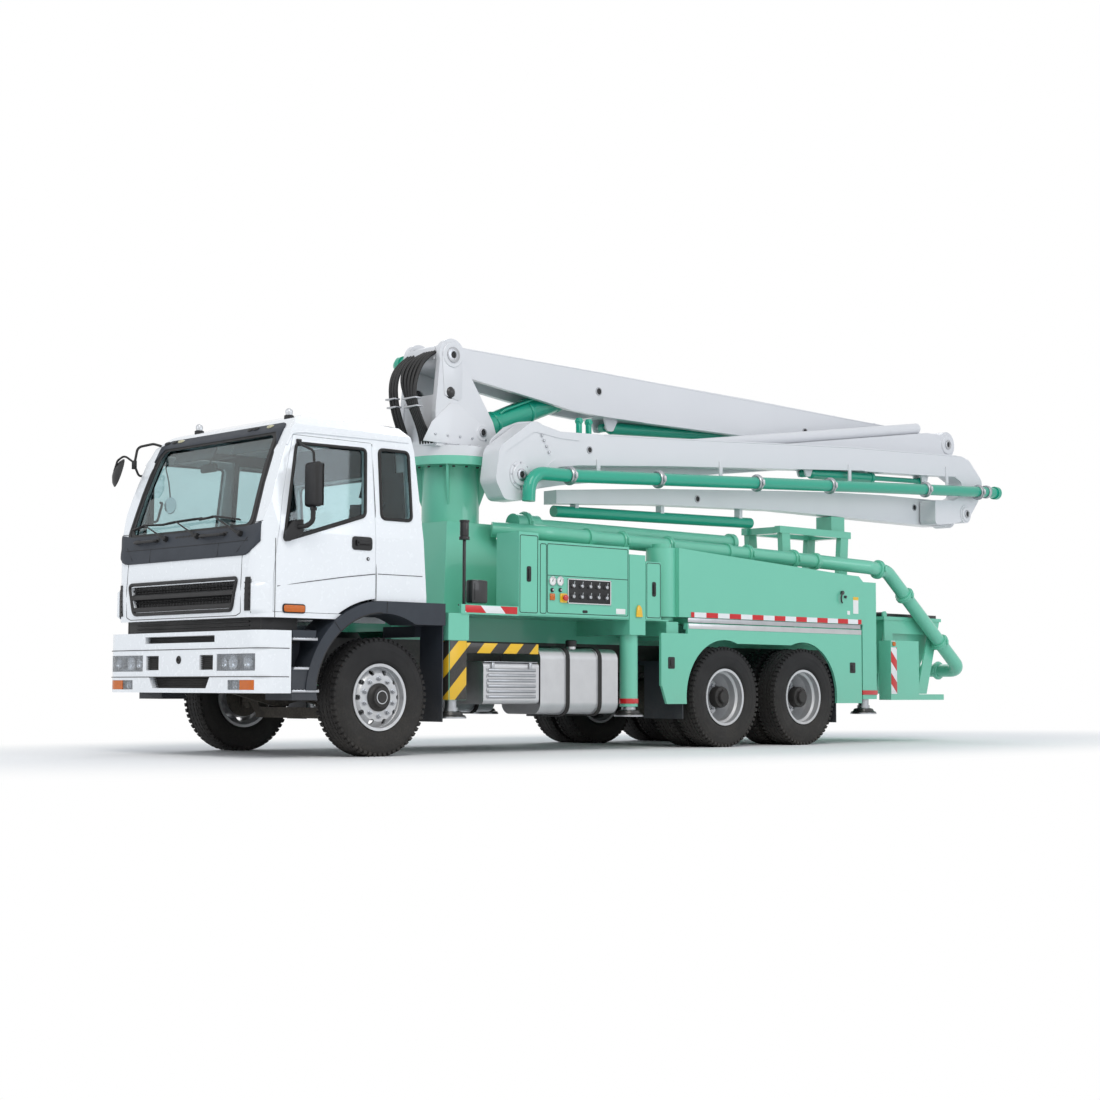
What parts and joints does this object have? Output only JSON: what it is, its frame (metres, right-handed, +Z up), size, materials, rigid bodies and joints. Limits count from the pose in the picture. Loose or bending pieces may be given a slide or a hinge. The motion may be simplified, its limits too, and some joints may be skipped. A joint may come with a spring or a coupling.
{
  "type": "truck-mounted concrete pump",
  "caption": "Truck-mounted concrete pump with a folded placing boom, white cab, mint body, swinging outriggers and a rear hopper; it drives to site, sets its feet and pumps.",
  "frame": {"origin": "ground, under the middle of the truck's bounding box", "axes": "-Y towards the cab (the truck drives to -Y), +Y towards the hopper, +X to the truck's left side, +Z up"},
  "size_m": [2.89, 11.642, 4.0748],
  "materials": {
    "cab_white": "gloss",
    "mint_paint": "satin",
    "boom_grey": "satin",
    "pipe_green": "satin",
    "frame_dark": "satin",
    "axle_iron": "painted black",
    "black_steel": "satin",
    "wheel_silver": "silver paint",
    "tank_silver": "brushed",
    "foot_steel": "zinc",
    "chrome_rod": "polished",
    "tyre_rubber": "matt",
    "dark_plastic": "grained",
    "black_trim": "satin",
    "cabin_plastic": "grained",
    "lamp_lens": "clear",
    "glass": "tinted"
  },
  "bodies": {
    "chassis": {"chassis_rails": "frame_dark", "axles": "axle_iron", "engine": "axle_iron", "cab_shell": "cab_white", "cab_glass": "glass", "cab_interior": "cabin_plastic", "cab_trim": "black_trim", "bumper": "cab_white", "lamps": "lamp_lens", "fenders": "dark_plastic", "tanks": "tank_silver", "deck": "mint_paint", "body_sides": "mint_paint", "hopper": "mint_paint", "pump_unit": "pipe_green", "deck_lines": "pipe_green"},
    "tie_rod": {"tie_rod": "black_steel"},
    "grate": {"hopper_grate": "black_steel"},
    "turret": {"turret": "boom_grey", "turret_line": "pipe_green"},
    "boom_1": {"boom_1": "boom_grey", "boom_line_1": "pipe_green", "fold_ram_1": "pipe_green"},
    "boom_2": {"boom_2": "boom_grey", "boom_line_2": "pipe_green"},
    "boom_3": {"boom_3": "boom_grey", "boom_line_3": "pipe_green", "fold_ram_3": "pipe_green"},
    "boom_4": {"boom_4": "boom_grey", "boom_line_4": "pipe_green"},
    "lift_barrel": {"lift_barrel": "pipe_green"},
    "lift_rod": {"lift_rod": "chrome_rod"},
    "door_left": {"door_left": "cab_white", "door_glass_left": "glass", "door_trim_left": "black_trim"},
    "arm_left": {"outrigger_arm_left": "mint_paint"},
    "knuckle_left": {"knuckle_left": "axle_iron"},
    "wheel_front_left": {"rim_front_left": "wheel_silver", "tyre_front_left": "tyre_rubber"},
    "wheels_rear_1_left": {"rims_rear_1_left": "wheel_silver", "tyres_rear_1_left": "tyre_rubber"},
    "wheels_rear_2_left": {"rims_rear_2_left": "wheel_silver", "tyres_rear_2_left": "tyre_rubber"},
    "foot_front_left": {"foot_front_left": "foot_steel"},
    "foot_middle_left": {"foot_middle_left": "foot_steel"},
    "foot_rear_left": {"foot_rear_left": "foot_steel"},
    "door_right": {"door_right": "cab_white", "door_glass_right": "glass", "door_trim_right": "black_trim"},
    "arm_right": {"outrigger_arm_right": "mint_paint"},
    "knuckle_right": {"knuckle_right": "axle_iron"},
    "wheel_front_right": {"rim_front_right": "wheel_silver", "tyre_front_right": "tyre_rubber"},
    "wheels_rear_1_right": {"rims_rear_1_right": "wheel_silver", "tyres_rear_1_right": "tyre_rubber"},
    "wheels_rear_2_right": {"rims_rear_2_right": "wheel_silver", "tyres_rear_2_right": "tyre_rubber"},
    "foot_front_right": {"foot_front_right": "foot_steel"},
    "foot_middle_right": {"foot_middle_right": "foot_steel"},
    "foot_rear_right": {"foot_rear_right": "foot_steel"}
  },
  "joints": [
    {"name": "steer_left", "type": "hinge", "parent": "chassis", "child": "knuckle_left", "pos_m": [0.862, -4.48, 0.525], "axis": [0, 0, 1], "range_deg": [-38, 38]},
    {"name": "wheel_front_left_spin", "type": "hinge", "parent": "knuckle_left", "child": "wheel_front_left", "pos_m": [1.05, -4.48, 0.525], "axis": [1, 0, 0], "continuous": true},
    {"name": "wheels_rear_1_left_spin", "type": "hinge", "parent": "chassis", "child": "wheels_rear_1_left", "pos_m": [0.9, 0.11, 0.525], "axis": [1, 0, 0], "continuous": true},
    {"name": "wheels_rear_2_left_spin", "type": "hinge", "parent": "chassis", "child": "wheels_rear_2_left", "pos_m": [0.9, 1.415, 0.525], "axis": [1, 0, 0], "continuous": true},
    {"name": "door_left_hinge", "type": "hinge", "parent": "chassis", "child": "door_left", "pos_m": [1.178, -5.652, 1.6], "axis": [0, 0, -1], "range_deg": [0, 70]},
    {"name": "outrigger_left", "type": "hinge", "parent": "chassis", "child": "arm_left", "pos_m": [1.01, -0.64, 1.7], "axis": [0, 0, -1], "range_deg": [0, 90]},
    {"name": "jack_front_left", "type": "slide", "parent": "chassis", "child": "foot_front_left", "axis": [0, 0, -1], "range_m": [0, 0.3]},
    {"name": "jack_middle_left", "type": "slide", "parent": "chassis", "child": "foot_middle_left", "axis": [0, 0, -1], "range_m": [0, 0.3]},
    {"name": "jack_rear_left", "type": "slide", "parent": "arm_left", "child": "foot_rear_left", "axis": [0, 0, -1], "range_m": [0, 0.3]},
    {"name": "steer_right", "type": "hinge", "parent": "chassis", "child": "knuckle_right", "pos_m": [-0.862, -4.48, 0.525], "axis": [0, 0, 1], "range_deg": [-38, 38]},
    {"name": "wheel_front_right_spin", "type": "hinge", "parent": "knuckle_right", "child": "wheel_front_right", "pos_m": [-1.05, -4.48, 0.525], "axis": [1, 0, 0], "continuous": true},
    {"name": "wheels_rear_1_right_spin", "type": "hinge", "parent": "chassis", "child": "wheels_rear_1_right", "pos_m": [-0.9, 0.11, 0.525], "axis": [1, 0, 0], "continuous": true},
    {"name": "wheels_rear_2_right_spin", "type": "hinge", "parent": "chassis", "child": "wheels_rear_2_right", "pos_m": [-0.9, 1.415, 0.525], "axis": [1, 0, 0], "continuous": true},
    {"name": "door_right_hinge", "type": "hinge", "parent": "chassis", "child": "door_right", "pos_m": [-1.178, -5.652, 1.6], "axis": [0, 0, 1], "range_deg": [0, 70]},
    {"name": "outrigger_right", "type": "hinge", "parent": "chassis", "child": "arm_right", "pos_m": [-1.01, -0.64, 1.7], "axis": [0, 0, 1], "range_deg": [0, 90]},
    {"name": "jack_front_right", "type": "slide", "parent": "chassis", "child": "foot_front_right", "axis": [0, 0, -1], "range_m": [0, 0.3]},
    {"name": "jack_middle_right", "type": "slide", "parent": "chassis", "child": "foot_middle_right", "axis": [0, 0, -1], "range_m": [0, 0.3]},
    {"name": "jack_rear_right", "type": "slide", "parent": "arm_right", "child": "foot_rear_right", "axis": [0, 0, -1], "range_m": [0, 0.3]},
    {"name": "tie_rod_shift", "type": "slide", "parent": "chassis", "child": "tie_rod", "axis": [1, 0, 0], "range_m": [-0.13, 0.13]},
    {"name": "grate_lift", "type": "hinge", "parent": "chassis", "child": "grate", "pos_m": [0, 3.445, 1.51], "axis": [1, 0, 0], "range_deg": [0, 85]},
    {"name": "slew", "type": "hinge", "parent": "chassis", "child": "turret", "pos_m": [0, -2.67, 2.95], "axis": [0, 0, 1], "range_deg": [-105, 105]},
    {"name": "boom_lift", "type": "hinge", "parent": "turret", "child": "boom_1", "pos_m": [0, -2.9, 3.91], "axis": [1, 0, 0], "range_deg": [0, 85]},
    {"name": "boom_fold", "type": "hinge", "parent": "boom_1", "child": "boom_2", "pos_m": [0.4, 5.24, 3.735], "axis": [-1, 0, 0], "range_deg": [0, 170]},
    {"name": "boom_3_fold", "type": "hinge", "parent": "boom_2", "child": "boom_3", "pos_m": [0.6, -2.41, 2.715], "axis": [-1, 0, 0], "range_deg": [0, 88]},
    {"name": "boom_4_fold", "type": "hinge", "parent": "boom_3", "child": "boom_4", "pos_m": [0.4, 5.26, 2.83], "axis": [1, 0, 0], "range_deg": [0, 156]},
    {"name": "lift_barrel_pivot", "type": "hinge", "parent": "turret", "child": "lift_barrel", "pos_m": [0, -2.5, 3.17], "axis": [1, 0, 0], "range_deg": [0, 72.9]},
    {"name": "lift_rod_stroke", "type": "slide", "parent": "lift_barrel", "child": "lift_rod", "axis": [0, 0.9309, 0.3653], "range_m": [0, 1.037]}
  ],
  "couplings": [
    {"joint": "steer_right", "follows": "steer_left", "ratio": 1},
    {"joint": "tie_rod_shift", "follows": "steer_left", "m_per_rad": -0.18},
    {"joint": "boom_3_fold", "follows": "boom_lift", "ratio": 1},
    {"joint": "boom_4_fold", "follows": "boom_fold", "ratio": 0.9},
    {"joint": "lift_barrel_pivot", "follows": "boom_lift", "ratio": 0.8337},
    {"joint": "lift_rod_stroke", "follows": "boom_lift", "m_per_rad": 0.6787}
  ]
}
